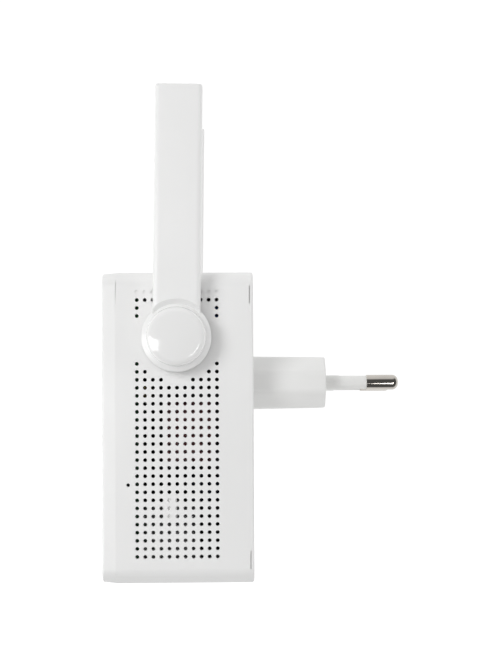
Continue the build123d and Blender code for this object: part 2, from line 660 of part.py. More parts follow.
for name, side in SIDES.items():
    with BuildPart() as collar:
        with BuildSketch(through_hub(side)):
            with BuildLine():
                Polyline(
                    (ARM_SPLIT, 0),
                    (COLLAR_TOP, 0),
                    (COLLAR_TOP, CAP_RADIUS),
                    (COLLAR_EDGE, COLLAR_RADIUS),
                    (ARM_SPLIT, COLLAR_RADIUS),
                    close=True,
                )
            make_face()
        revolve(axis=HINGE_AXIS)

    with BuildPart() as outer_shell:
        with BuildSketch(across_arm(side)) as outer_half:
            with Locations((ARM_SPLIT, 0)):
                Rectangle(ARM_FACE - ARM_SPLIT, ARM_WIDTH, align=(Align.MIN, Align.CENTER))
            fillet(outer_half.vertices().group_by(Axis.X)[-1], ARM_EDGE_RADIUS)
        extrude(amount=ARM_LENGTH)
        fillet(clear_of(outer_shell.faces().sort_by(Axis.Z)[-1].edges(), ARM_SPLIT), ARM_TOP_RADIUS)
        # The arm's face ends in a shallow valley round the cap; the collar falls away from the cap's seat.
        with BuildSketch(through_hub(side)):
            with BuildLine():
                Polyline(
                    (COLLAR_TOP, 0),
                    (COLLAR_TOP, CAP_RADIUS),
                    (VALLEY_FLOOR, VALLEY_RADIUS),
                    (ARM_FACE, ARM_END_RADIUS),
                    (CAP_OUT, ARM_END_RADIUS),
                    (CAP_OUT, 0),
                    close=True,
                )
            make_face()
        revolve(axis=HINGE_AXIS, mode=Mode.SUBTRACT)
        add(collar.part)
        with BuildSketch(on_arm(side, ARM_SPLIT)):
            with Locations((0, ARM_HOLLOW_START)):
                Rectangle(
                    ARM_WIDTH - 2 * ARM_SKIN,
                    ARM_LENGTH - ARM_SKIN - ARM_HOLLOW_START,
                    align=(Align.CENTER, Align.MIN),
                )
        extrude(amount=ARM_FACE - ARM_SKIN - ARM_SPLIT, mode=Mode.SUBTRACT)
        with BuildSketch(on_arm(side, ARM_SPLIT)):
            Rectangle(LEAD_SLOT_WIDTH, ARM_HOLLOW_START, align=(Align.CENTER, Align.MIN))
        extrude(amount=LEAD_SLOT_OUT - ARM_SPLIT, mode=Mode.SUBTRACT)
        with BuildSketch(on_arm(side, ARM_SPLIT)):
            Circle(COLLAR_BORE)
        extrude(amount=COLLAR_TOP - ARM_SPLIT, mode=Mode.SUBTRACT)
    save(outer_shell, f"antenna_{name}_outer_shell")

    with BuildPart() as inner_shell:
        with BuildSketch(across_arm(side)) as inner_half:
            with Locations((ARM_BACK, 0)):
                Rectangle(ARM_SPLIT - ARM_BACK, ARM_WIDTH, align=(Align.MIN, Align.CENTER))
            fillet(inner_half.vertices().group_by(Axis.X)[0], ARM_BACK_EDGE_RADIUS)
        extrude(amount=ARM_LENGTH)
        fillet(clear_of(inner_shell.faces().sort_by(Axis.Z)[-1].edges(), ARM_SPLIT), ARM_TOP_RADIUS)
        with BuildSketch(on_arm(side, ARM_BACK)):
            Circle(COLLAR_RADIUS)
        extrude(amount=ARM_SPLIT - ARM_BACK)
        with BuildSketch(on_arm(side, THRUST_GAP)):
            Circle(THRUST_RING_RADIUS)
        extrude(amount=ARM_BACK - THRUST_GAP)
        with BuildSketch(on_arm(side, ARM_BACK + ARM_SKIN)):
            with Locations((0, ARM_HOLLOW_START)):
                Rectangle(
                    ARM_WIDTH - 2 * ARM_SKIN,
                    ARM_LENGTH - ARM_SKIN - ARM_HOLLOW_START,
                    align=(Align.CENTER, Align.MIN),
                )
            Circle(SHAFT_FLANGE_RADIUS)
        extrude(amount=ARM_SPLIT - ARM_BACK - ARM_SKIN, mode=Mode.SUBTRACT)
        with BuildSketch(on_arm(side, ARM_BACK + ARM_SKIN)):
            for along in RIB_ALONG:
                with Locations((0, along)):
                    Rectangle(ARM_WIDTH - 2 * ARM_SKIN, ARM_SKIN)
        extrude(amount=RADIATOR_OUT - ARM_BACK - ARM_SKIN)
        with BuildSketch(on_arm(side, THRUST_GAP)):
            Circle(SHAFT_RADIUS)
        extrude(amount=ARM_BACK + ARM_SKIN - THRUST_GAP, mode=Mode.SUBTRACT)
    save(inner_shell, f"antenna_{name}_inner_shell")

    with BuildPart() as hub_cap:
        with BuildSketch(through_hub(side)):
            with BuildLine():
                base = Polyline((COLLAR_TOP, 0), (COLLAR_TOP, CAP_RADIUS), (CAP_RIM_CENTRE, CAP_RADIUS))
                rim_end = (
                    CAP_RIM_CENTRE + CAP_RIM_RADIUS * cos(CAP_RIM_ANGLE),
                    CAP_RADIUS - CAP_RIM_RADIUS + CAP_RIM_RADIUS * sin(CAP_RIM_ANGLE),
                )
                rim = TangentArc(base @ 1, rim_end, tangent=base % 1)
                crown = TangentArc(rim @ 1, (CAP_OUT, 0), tangent=rim % 1)
                Line(crown @ 1, base @ 0)
            make_face()
        revolve(axis=HINGE_AXIS)
        with BuildSketch(on_arm(side, CAP_STEM_START)):
            Circle(COLLAR_BORE - FIT_GAP)
            Circle(COLLAR_BORE - FIT_GAP - CAP_STEM_WALL, mode=Mode.SUBTRACT)
            Rectangle(
                LEAD_SLOT_WIDTH, COLLAR_BORE, align=(Align.CENTER, Align.MIN), mode=Mode.SUBTRACT
            )
        extrude(amount=COLLAR_TOP - CAP_STEM_START)
    save(hub_cap, f"antenna_{name}_hub_cap")

    with BuildPart() as radiator:
        with BuildSketch(on_arm(side, RADIATOR_OUT)):
            with Locations((0, RADIATOR_START)):
                Rectangle(
                    RADIATOR_WIDTH,
                    RADIATOR_END - RADIATOR_START,
                    align=(Align.CENTER, Align.MIN),
                )
        extrude(amount=RADIATOR_THICKNESS)
    save(radiator, f"antenna_{name}_radiator")

    with BuildPart() as hinge_shaft:
        with BuildSketch(on_arm(side, SHAFT_END)):
            Circle(SHAFT_RADIUS)
        extrude(amount=SHAFT_FLANGE_OUT - SHAFT_END)
        with BuildSketch(on_arm(side, ARM_BACK + ARM_SKIN)):
            Circle(SHAFT_FLANGE_RADIUS)
        extrude(amount=SHAFT_FLANGE_OUT - ARM_BACK - ARM_SKIN)
        with BuildSketch(on_arm(side, CLIP_OUT - CLIP_THICKNESS)):
            Circle(SHAFT_RADIUS)
            Circle(GROOVE_RADIUS, mode=Mode.SUBTRACT)
        extrude(amount=CLIP_THICKNESS, mode=Mode.SUBTRACT)
        with BuildSketch(on_arm(side, SHAFT_END)):
            Circle(LEAD_BORE)
        extrude(amount=SHAFT_FLANGE_OUT - SHAFT_END, mode=Mode.SUBTRACT)
    save(hinge_shaft, f"antenna_{name}_hinge_shaft")

    with BuildPart() as friction_washer:
        with BuildSketch(on_arm(side, CLIP_OUT)):
            Circle(WASHER_RADIUS)
            Circle(SHAFT_RADIUS, mode=Mode.SUBTRACT)
        extrude(amount=WASHER_THICKNESS)
    save(friction_washer, f"antenna_{name}_friction_washer")

    with BuildPart() as retaining_clip:
        with BuildSketch(on_arm(side, CLIP_OUT - CLIP_THICKNESS)):
            Circle(CLIP_RADIUS)
            Circle(GROOVE_RADIUS, mode=Mode.SUBTRACT)
            Rectangle(
                CLIP_MOUTH, WASHER_RADIUS, align=(Align.CENTER, Align.MAX), mode=Mode.SUBTRACT
            )
        extrude(amount=CLIP_THICKNESS)
    save(retaining_clip, f"antenna_{name}_retaining_clip")

    # The lead runs down the arm on the radiator board, then turns into the hollow shaft.
    lead_out = RADIATOR_OUT + RADIATOR_THICKNESS + LEAD_RADIUS
    arm_plane = on_arm(side, 0)
    with BuildPart() as antenna_lead:
        with BuildLine() as lead_path:
            FilletPolyline(
                arm_plane.from_local_coords((0, LEAD_START, lead_out)),
                arm_plane.from_local_coords((0, 0, lead_out)),
                arm_plane.from_local_coords((0, 0, SHAFT_END)),
                radius=LEAD_BEND,
            )
        with BuildSketch(Plane(origin=lead_path.line @ 0, z_dir=lead_path.line % 0)):
            Circle(LEAD_RADIUS)
        sweep()
    save(antenna_lead, f"antenna_{name}_lead")

    # The lead's other length, fixed in the case, goes from the shaft's end to its plug on the board.
    lead_depth = -(MAIN_BOARD_BACK - LEAD_PLUG_LIFT)
    with BuildPart() as body_lead:
        with BuildLine() as lead_path:
            FilletPolyline(
                (side * (BODY_WIDTH / 2 + SHAFT_END - FIT_GAP), HUB_Y, HUB_Z),
                (side * (LEAD_PLUG_X + LEAD_DROP_X), HUB_Y, HUB_Z),
                (side * LEAD_PLUG_X, lead_depth, LEAD_PLUG_Z + LEAD_DROP_Z),
                (side * LEAD_PLUG_X, lead_depth, LEAD_PLUG_Z + LEAD_PLUG_CRIMP),
                radius=(LEAD_CORNER, LEAD_CORNER),
            )
        with BuildSketch(Plane(origin=lead_path.line @ 0, z_dir=lead_path.line % 0)):
            Circle(LEAD_RADIUS)
        sweep()
    save(body_lead, f"body_lead_{name}")

with BuildPart() as lead_plugs:
    with BuildSketch(facing_wall(MAIN_BOARD_BACK)):
        with Locations((-LEAD_PLUG_X, LEAD_PLUG_Z), (LEAD_PLUG_X, LEAD_PLUG_Z)):
            Circle(LEAD_PLUG_CRIMP / 2)
            Rectangle(2 * LEAD_RADIUS, LEAD_PLUG_CRIMP, align=(Align.CENTER, Align.MIN))
    extrude(amount=LEAD_PLUG_LIFT + LEAD_RADIUS)
save(lead_plugs, "lead_plugs")

# Main board, behind the front cover, and what it carries
with BuildPart() as main_board:
    with BuildSketch(facing_front(MAIN_BOARD_BACK)):
        with Locations((0, (MAIN_BOARD_BOTTOM + MAIN_BOARD_TOP) / 2)):
            RectangleRounded(MAIN_BOARD_WIDTH, MAIN_BOARD_TOP - MAIN_BOARD_BOTTOM, BOARD_CORNER)
        with Locations(*MAIN_SCREWS):
            Circle(BOARD_HOLE_RADIUS, mode=Mode.SUBTRACT)
    extrude(amount=BOARD_THICKNESS)
save(main_board, "main_board")

with BuildPart() as board_screws:
    with BuildSketch(facing_front(MAIN_BOARD_BACK - SCREW_HEAD_HEIGHT)):
        with Locations(*MAIN_SCREWS):
            Circle(SCREW_HEAD_RADIUS)
    extrude(amount=SCREW_HEAD_HEIGHT)
    with BuildSketch(facing_front(MAIN_BOARD_BACK)):
        with Locations(*MAIN_SCREWS):
            Circle(SCREW_RADIUS)
    extrude(amount=BOARD_THICKNESS + SCREW_REACH)
    with BuildSketch(facing_front(MAIN_BOARD_BACK - SCREW_HEAD_HEIGHT)):
        with Locations(*MAIN_SCREWS):
            Rectangle(CROSS_LENGTH, CROSS_WIDTH)
            Rectangle(CROSS_WIDTH, CROSS_LENGTH)
    extrude(amount=CROSS_DEPTH, mode=Mode.SUBTRACT)
save(board_screws, "board_screws")

with BuildPart() as processor:
    with BuildSketch(facing_front(MAIN_BOARD_FRONT)):
        with Locations((0, CHIP_Z)):
            Rectangle(CHIP_SIZE, CHIP_SIZE)
    extrude(amount=CHIP_HEIGHT)
save(processor, "processor")

with BuildPart() as thermal_pad:
    with BuildSketch(facing_front(MAIN_BOARD_FRONT + CHIP_HEIGHT)):
        with Locations((0, CHIP_Z)):
            Rectangle(PAD_SIZE, PAD_SIZE)
    extrude(amount=PAD_HEIGHT)
save(thermal_pad, "thermal_pad")

with BuildPart() as heatsink:
    with BuildSketch(facing_front(MAIN_BOARD_FRONT + CHIP_HEIGHT + PAD_HEIGHT)):
        with Locations((0, CHIP_Z)):
            Rectangle(HEATSINK_SIZE, HEATSINK_SIZE)
    extrude(amount=HEATSINK_BASE)
    with BuildSketch(facing_front(MAIN_BOARD_FRONT + CHIP_HEIGHT + PAD_HEIGHT + HEATSINK_BASE)):
        with Locations((0, CHIP_Z)):
            with GridLocations(0, HEATSINK_FIN_PITCH, 1, HEATSINK_FINS):
                Rectangle(HEATSINK_SIZE, HEATSINK_FIN_WIDTH)
    extrude(amount=HEATSINK_FIN_HEIGHT)
save(heatsink, "heatsink")

with BuildPart() as radio_shields:
    with BuildSketch(facing_front(MAIN_BOARD_FRONT)):
        with Locations((-SHIELD_CAN_X, SHIELD_CAN_Z), (SHIELD_CAN_X, SHIELD_CAN_Z)):
            RectangleRounded(SHIELD_CAN_WIDTH, SHIELD_CAN_WIDTH, SHIELD_CAN_CORNER)
    extrude(amount=SHIELD_CAN_HEIGHT)
    with BuildSketch(facing_front(MAIN_BOARD_FRONT)):
        with Locations((-SHIELD_CAN_X, SHIELD_CAN_Z), (SHIELD_CAN_X, SHIELD_CAN_Z)):
            inner_width = SHIELD_CAN_WIDTH - 2 * SHIELD_THICKNESS
            RectangleRounded(inner_width, inner_width, SHIELD_CAN_CORNER - SHIELD_THICKNESS)
    extrude(amount=SHIELD_CAN_HEIGHT - SHIELD_THICKNESS, mode=Mode.SUBTRACT)
save(radio_shields, "radio_shields")

with BuildPart() as memory_chips:
    with BuildSketch(facing_front(MAIN_BOARD_FRONT)):
        for x, z, width, height in MEMORY_CHIPS:
            with Locations((x, z)):
                Rectangle(width, height)
    extrude(amount=CHIP_HEIGHT)
save(memory_chips, "memory_chips")

with BuildPart() as status_leds:
    with BuildSketch(facing_front(MAIN_BOARD_FRONT)):
        with Locations([(x, LIGHT_Z) for x in LIGHT_XS]):
            Rectangle(LED_LENGTH, LED_WIDTH)
    extrude(amount=LED_HEIGHT)
save(status_leds, "status_leds")

# Light guide: one clear bar with a rod for each light, from the lamps to the face plate
GUIDE_FRONT = BODY_DEPTH - WALL - FLANGE_PLAY
with BuildPart() as light_guide:
    with BuildSketch(facing_front(GUIDE_FRONT - GUIDE_BAR)):
        with Locations((0, LIGHT_Z)):
            SlotOverall(LIGHT_XS[-1] - LIGHT_XS[0] + GUIDE_WIDTH, GUIDE_WIDTH)
    extrude(amount=GUIDE_BAR)
    with BuildSketch(facing_front(MAIN_BOARD_FRONT + LED_HEIGHT + FLANGE_PLAY)):
        with Locations([(x, LIGHT_Z) for x in LIGHT_XS]):
            Circle(LIGHT_RADIUS - BUTTON_SINK)
    extrude(amount=BODY_DEPTH - BUTTON_SINK - MAIN_BOARD_FRONT - LED_HEIGHT - FLANGE_PLAY)
save(light_guide, "light_guide")

# Pairing button and its switch
with BuildPart() as pairing_button:
    with BuildSketch(facing_front(GUIDE_FRONT)):
        with Locations((0, BUTTON_Z)):
            Circle(BUTTON_RADIUS)
    extrude(amount=BODY_DEPTH - BUTTON_SINK - GUIDE_FRONT)
    fillet(pairing_button.faces().sort_by(Axis.Y)[0].edges(), BUTTON_EDGE_RADIUS)
    with BuildSketch(facing_front(GUIDE_FRONT - BUTTON_FLANGE_THICKNESS)):
        with Locations((0, BUTTON_Z)):
            Circle(BUTTON_FLANGE_RADIUS)
    extrude(amount=BUTTON_FLANGE_THICKNESS)
    with BuildSketch(facing_front(MAIN_BOARD_FRONT + SWITCH_HEIGHT + SWITCH_STEM_PROUD)):
        with Locations((0, BUTTON_Z)):
            Circle(SWITCH_STEM_RADIUS)
    extrude(
        amount=GUIDE_FRONT
        - BUTTON_FLANGE_THICKNESS
        - MAIN_BOARD_FRONT
        - SWITCH_HEIGHT
        - SWITCH_STEM_PROUD
    )
save(pairing_button, "pairing_button")

with BuildPart() as pairing_switch:
    with BuildSketch(facing_front(MAIN_BOARD_FRONT)):
        with Locations((0, BUTTON_Z)):
            Rectangle(SWITCH_SIZE, SWITCH_SIZE)
    extrude(amount=SWITCH_HEIGHT)
    with BuildSketch(facing_front(MAIN_BOARD_FRONT + SWITCH_HEIGHT)):
        with Locations((0, BUTTON_Z)):
            Circle(SWITCH_WELL_RADIUS)
    extrude(amount=-SWITCH_WELL_DEPTH, mode=Mode.SUBTRACT)
save(pairing_switch, "pairing_switch")

with BuildPart() as pairing_switch_stem:
    stem_front = MAIN_BOARD_FRONT + SWITCH_HEIGHT + SWITCH_STEM_PROUD
    with BuildSketch(facing_front(stem_front - SWITCH_STEM_LENGTH)):
        with Locations((0, BUTTON_Z)):
            Circle(SWITCH_STEM_RADIUS)
    extrude(amount=SWITCH_STEM_LENGTH)
save(pairing_switch_stem, "pairing_switch_stem")

# Reset switch beside the pinhole, and the button that a pin presses
with BuildPart() as reset_switch:
    with BuildSketch(facing_side(1, RESET_SWITCH_X[0])):
        with Locations((-(MAIN_BOARD_FRONT + RESET_SWITCH_DEPTH / 2), RESET_Z)):
            Rectangle(RESET_SWITCH_DEPTH, SWITCH_SIZE)
    extrude(amount=RESET_SWITCH_X[1] - RESET_SWITCH_X[0])
    with BuildSketch(facing_side(1, RESET_WELL_X)):
        with Locations((RESET_Y, RESET_Z)):
            Circle(RESET_WELL_RADIUS)
    extrude(amount=RESET_SWITCH_X[1] - RESET_WELL_X, mode=Mode.SUBTRACT)
save(reset_switch, "reset_switch")

with BuildPart() as reset_button:
    with BuildSketch(facing_side(1, RESET_STEM_X[0])):
        with Locations((RESET_Y, RESET_Z)):
            Circle(RESET_STEM_RADIUS)
    extrude(amount=RESET_STEM_X[1] - RESET_STEM_X[0])
save(reset_button, "reset_button")

# Network socket: the moulding with its stepped mouth, the metal shield, and the spring contacts
with BuildPart() as network_socket:
    with BuildSketch(Plane.XY.offset(SOCKET_FACE)):
        with Locations((0, SOCKET_Y)):
            Rectangle(SOCKET_WIDTH, SOCKET_DEPTH)
    extrude(amount=SOCKET_LENGTH)
    with BuildSketch(Plane.XY.offset(SOCKET_FACE)):
        with Locations((0, SOCKET_MOUTH_Y)):
            Rectangle(SOCKET_MOUTH_WIDTH, SOCKET_MOUTH_DEPTH)
        for width, reach in LATCH_SLOTS:
            with Locations((0, SOCKET_MOUTH_Y + SOCKET_MOUTH_DEPTH / 2)):
                Rectangle(width, reach, align=(Align.CENTER, Align.MIN))
    extrude(amount=SOCKET_HOLLOW, mode=Mode.SUBTRACT)
save(network_socket, "network_socket")

with BuildPart() as socket_shield:
    with BuildSketch(Plane.XY.offset(SOCKET_FACE)):
        with Locations((0, SOCKET_Y)):
            Rectangle(SOCKET_WIDTH + 2 * SHIELD_THICKNESS, SOCKET_DEPTH + 2 * SHIELD_THICKNESS)
    extrude(amount=SOCKET_LENGTH + SHIELD_THICKNESS)
    with BuildSketch(Plane.XY.offset(SOCKET_FACE)):
        with Locations((0, SOCKET_Y)):
            Rectangle(SOCKET_WIDTH, SOCKET_DEPTH)
    extrude(amount=SOCKET_LENGTH, mode=Mode.SUBTRACT)
save(socket_shield, "socket_shield")

# Each contact is a bent strip: up the back of the mouth, then sloping down into it.
contact_root = SOCKET_MOUTH_Y - SOCKET_MOUTH_DEPTH / 2
contact_top = SOCKET_FACE + SOCKET_HOLLOW
CONTACT_OUTLINE = (
    (0.0, 0.0),
    (0.36, 0.0),
    (0.36, -1.2),
    (1.7, -8.2),
    (0.9, -9.4),
    (0.6, -9.2),
    (1.3, -8.2),
    (0.0, -1.3),
)
with BuildPart() as socket_contacts:
    for contact in range(CONTACT_COUNT):
        middle = (contact - (CONTACT_COUNT - 1) / 2) * CONTACT_PITCH
        with BuildSketch(Plane.YZ.offset(middle - CONTACT_WIDTH / 2)):
            with BuildLine():
                Polyline(
                    [(contact_root + y, contact_top + z) for y, z in CONTACT_OUTLINE], close=True
                )
            make_face()
        extrude(amount=CONTACT_WIDTH)
save(socket_contacts, "socket_contacts")

with BuildPart() as network_transformer:
    with BuildSketch(facing_front(MAIN_BOARD_BACK - MAGNETICS_HEIGHT)):
        with Locations((0, MAGNETICS_Z)):
            Rectangle(MAGNETICS_WIDTH, MAGNETICS_LENGTH)
    extrude(amount=MAGNETICS_HEIGHT)
save(network_transformer, "network_transformer")

# Power board, on the back cover, and what it carries
with BuildPart() as power_board:
    with BuildSketch(facing_front(POWER_BOARD_BACK)):
        with Locations((0, (POWER_BOARD_BOTTOM + POWER_BOARD_TOP) / 2)):
            RectangleRounded(POWER_BOARD_WIDTH, POWER_BOARD_TOP - POWER_BOARD_BOTTOM, BOARD_CORNER)
        with Locations(*POWER_SCREWS):
            Circle(BOARD_HOLE_RADIUS, mode=Mode.SUBTRACT)
        with Locations((-PIN_SPACING / 2, PIN_Z), (PIN_SPACING / 2, PIN_Z)):
            Circle(PIN_CORE_RADIUS, mode=Mode.SUBTRACT)
    extrude(amount=BOARD_THICKNESS)
save(power_board, "power_board")

with BuildPart() as power_screws:
    with BuildSketch(facing_front(POWER_BOARD_FRONT)):
        with Locations(*POWER_SCREWS):
            Circle(SCREW_HEAD_RADIUS)
    extrude(amount=SCREW_HEAD_HEIGHT)
    with BuildSketch(facing_front(BACK_PLATE + FIT_GAP)):
        with Locations(*POWER_SCREWS):
            Circle(SCREW_RADIUS)
    extrude(amount=POWER_BOARD_FRONT - BACK_PLATE - FIT_GAP)
    with BuildSketch(facing_front(POWER_BOARD_FRONT + SCREW_HEAD_HEIGHT)):
        with Locations(*POWER_SCREWS):
            Rectangle(CROSS_LENGTH, CROSS_WIDTH)
            Rectangle(CROSS_WIDTH, CROSS_LENGTH)
    extrude(amount=-CROSS_DEPTH, mode=Mode.SUBTRACT)
save(power_screws, "power_screws")

with BuildPart() as insulation_sheet:
    with BuildSketch(facing_front(SHEET_BACK)):
        with Locations((0, (POWER_BOARD_BOTTOM + POWER_BOARD_TOP) / 2)):
            Rectangle(
                POWER_BOARD_WIDTH - SHEET_MARGIN,
                POWER_BOARD_TOP - POWER_BOARD_BOTTOM - SHEET_MARGIN,
            )
        with Locations(*POWER_SCREWS):
            Circle(POST_RADIUS + FIT_GAP, mode=Mode.SUBTRACT)
        with Locations((-PIN_SPACING / 2, PIN_Z), (PIN_SPACING / 2, PIN_Z)):
            Circle(PIN_CORE_RADIUS + FIT_GAP, mode=Mode.SUBTRACT)
    extrude(amount=SHEET_THICKNESS)
save(insulation_sheet, "insulation_sheet")

# Insulating film: it stands beside both boards inside the left wall, with a hole round the hinge
with BuildPart() as insulating_film:
    with BuildSketch(facing_side(-1, FILM_X)):
        with Locations(((MAIN_BOARD_BACK + BACK_PLATE) / 2, (MAIN_BOARD_BOTTOM + MAIN_BOARD_TOP) / 2)):
            Rectangle(
                MAIN_BOARD_BACK - BACK_PLATE - 2 * FIT_GAP,
                MAIN_BOARD_TOP - MAIN_BOARD_BOTTOM,
            )
        with Locations((-HUB_Y, HUB_Z)):
            Circle(FILM_HOLE_RADIUS, mode=Mode.SUBTRACT)
    extrude(amount=FILM_THICKNESS)
save(insulating_film, "insulating_film")

# Mains transformer: bobbin foot on the board, taped winding, and the ferrite frame round it
core_back = POWER_BOARD_FRONT + BOBBIN_HEIGHT
winding_back = core_back + CORE_LEG
with BuildPart() as transformer_bobbin:
    with BuildSketch(facing_front(POWER_BOARD_FRONT)):
        with Locations((TRANSFORMER_X, TRANSFORMER_Z)):
            Rectangle(WINDING_WIDTH, WINDING_HEIGHT)
    extrude(amount=BOBBIN_HEIGHT)
save(transformer_bobbin, "transformer_bobbin")

with BuildPart() as transformer_core:
    with BuildSketch(facing_front(core_back)):
        with Locations((TRANSFORMER_X, TRANSFORMER_Z)):
            Rectangle(CORE_WIDTH, WINDING_HEIGHT + 2 * CORE_LEG)
    extrude(amount=WINDING_LENGTH + 2 * CORE_LEG)
    with BuildSketch(facing_front(winding_back)):
        with Locations((TRANSFORMER_X, TRANSFORMER_Z)):
            Rectangle(CORE_WIDTH, WINDING_HEIGHT)
            Rectangle(CORE_WIDTH, CORE_CENTRE_LEG, mode=Mode.SUBTRACT)
    extrude(amount=WINDING_LENGTH, mode=Mode.SUBTRACT)
save(transformer_core, "transformer_core")

with BuildPart() as transformer_winding:
    with BuildSketch(facing_front(winding_back)):
        with Locations((TRANSFORMER_X, TRANSFORMER_Z)):
            RectangleRounded(WINDING_WIDTH, WINDING_HEIGHT, WINDING_CORNER)
            Rectangle(CORE_WIDTH, CORE_CENTRE_LEG, mode=Mode.SUBTRACT)
    extrude(amount=WINDING_LENGTH)
save(transformer_winding, "transformer_winding")

with BuildPart() as input_capacitors:
    for x, z in INPUT_CAPACITORS:
        add(can(x, z, INPUT_CAN_RADIUS, INPUT_CAN_LENGTH))
save(input_capacitors, "input_capacitors")

with BuildPart() as output_capacitor:
    add(can(*OUTPUT_CAPACITOR, OUTPUT_CAN_RADIUS, OUTPUT_CAN_LENGTH))
save(output_capacitor, "output_capacitor")

with BuildPart() as filter_choke:
    add(can(*FILTER_CHOKE, CHOKE_RADIUS, CHOKE_LENGTH))
    with BuildSketch(facing_front(POWER_BOARD_FRONT + CHOKE_FLANGE)):
        with Locations(FILTER_CHOKE):
            Circle(CHOKE_RADIUS)
            Circle(CHOKE_RADIUS - CHOKE_FLANGE / 2, mode=Mode.SUBTRACT)
    extrude(amount=CHOKE_LENGTH - 2 * CHOKE_FLANGE, mode=Mode.SUBTRACT)
save(filter_choke, "filter_choke")

with BuildPart() as bridge_rectifier:
    with BuildSketch(facing_front(POWER_BOARD_FRONT)):
        with Locations(BRIDGE):
            Rectangle(BRIDGE_WIDTH, BRIDGE_HEIGHT)
    extrude(amount=BRIDGE_DEPTH)
    chamfer(bridge_rectifier.faces().sort_by(Axis.Y)[0].edges(), BRIDGE_CHAMFER)
save(bridge_rectifier, "bridge_rectifier")

with BuildPart() as fuse_resistor:
    with BuildSketch(Plane.YZ.offset(FUSE[0] - FUSE_LENGTH / 2)):
        with Locations((-(POWER_BOARD_FRONT + FUSE_RADIUS), FUSE[1])):
            Circle(FUSE_RADIUS)
    extrude(amount=FUSE_LENGTH)
    fillet(fuse_resistor.edges().filter_by(GeomType.CIRCLE), FUSE_EDGE_RADIUS)
save(fuse_resistor, "fuse_resistor")

with BuildPart() as safety_capacitor:
    with BuildSketch(Plane.YZ.offset(SAFETY_CAPACITOR[0] - SAFETY_THICKNESS / 2)):
        with Locations((-(POWER_BOARD_FRONT + SAFETY_RADIUS), SAFETY_CAPACITOR[1])):
            Circle(SAFETY_RADIUS)
    extrude(amount=SAFETY_THICKNESS)
    fillet(safety_capacitor.edges().filter_by(GeomType.CIRCLE), SAFETY_EDGE_RADIUS)
save(safety_capacitor, "safety_capacitor")

with BuildPart() as control_chip:
    with BuildSketch(facing_front(POWER_BOARD_FRONT)):
        with Locations(CONTROL_CHIP):
            Rectangle(CONTROL_CHIP_SIZE, CONTROL_CHIP_SIZE)
    extrude(amount=CHIP_HEIGHT)
save(control_chip, "control_chip")

# Header that joins the two boards: a block on each board, and the pins between them
with BuildPart() as board_header:
    span = MAIN_BOARD_BACK - POWER_BOARD_FRONT
    with BuildSketch(facing_front(POWER_BOARD_FRONT)):
        with Locations((HEADER_X, HEADER_Z)):
            Rectangle(HEADER_BLOCK, HEADER_PINS * HEADER_PITCH)
    extrude(amount=span)
    with BuildSketch(facing_front(POWER_BOARD_FRONT + HEADER_BLOCK)):
        with Locations((HEADER_X, HEADER_Z)):
            Rectangle(HEADER_BLOCK, HEADER_PINS * HEADER_PITCH)
            with GridLocations(0, HEADER_PITCH, 1, HEADER_PINS):
                Rectangle(HEADER_PIN_WIDTH, HEADER_PIN_WIDTH, mode=Mode.SUBTRACT)
    extrude(amount=span - 2 * HEADER_BLOCK, mode=Mode.SUBTRACT)
save(board_header, "board_header")
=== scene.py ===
import json
import math

import bmesh
import bpy
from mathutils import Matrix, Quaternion, Vector


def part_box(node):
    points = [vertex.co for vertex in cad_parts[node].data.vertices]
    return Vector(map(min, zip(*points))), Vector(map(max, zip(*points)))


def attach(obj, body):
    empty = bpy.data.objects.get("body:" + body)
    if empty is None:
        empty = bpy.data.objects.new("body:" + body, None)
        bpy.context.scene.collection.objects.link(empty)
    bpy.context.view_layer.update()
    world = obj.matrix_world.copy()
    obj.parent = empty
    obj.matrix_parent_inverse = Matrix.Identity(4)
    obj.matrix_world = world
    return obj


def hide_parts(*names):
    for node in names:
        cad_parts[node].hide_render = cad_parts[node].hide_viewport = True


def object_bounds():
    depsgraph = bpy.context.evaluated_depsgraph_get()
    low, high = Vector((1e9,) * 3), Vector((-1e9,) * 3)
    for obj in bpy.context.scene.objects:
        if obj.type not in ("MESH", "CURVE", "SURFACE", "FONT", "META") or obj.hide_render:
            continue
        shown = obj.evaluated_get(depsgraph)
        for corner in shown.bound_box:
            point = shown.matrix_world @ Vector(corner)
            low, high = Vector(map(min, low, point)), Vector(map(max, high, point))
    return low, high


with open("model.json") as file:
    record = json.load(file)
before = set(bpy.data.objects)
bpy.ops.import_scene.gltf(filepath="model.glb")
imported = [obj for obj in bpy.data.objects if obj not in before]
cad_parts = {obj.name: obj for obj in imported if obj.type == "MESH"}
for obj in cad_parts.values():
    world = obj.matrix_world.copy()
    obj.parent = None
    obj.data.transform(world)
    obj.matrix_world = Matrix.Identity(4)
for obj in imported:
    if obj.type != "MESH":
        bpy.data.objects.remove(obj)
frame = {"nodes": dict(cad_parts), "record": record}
cad_low, cad_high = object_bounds()
NODES = frame["nodes"]
MM = 0.001
SIDES = {"right": 1, "left": -1}

# ---------------------------------------------------------------- camera
# The camera stands at the object's right side, a little below its middle, and looks slightly upwards.
CAMERA_PLACE = (0.4393, -0.0097, 0.0423)
CAMERA_YAW = math.radians(1.267)
CAMERA_PITCH = math.radians(2.894)
CAMERA_ROLL = math.radians(-0.338)
CAMERA_LENS = 87.03
SENSOR_WIDTH = 36.0
NEAREST = 0.01
FARTHEST = 20.0


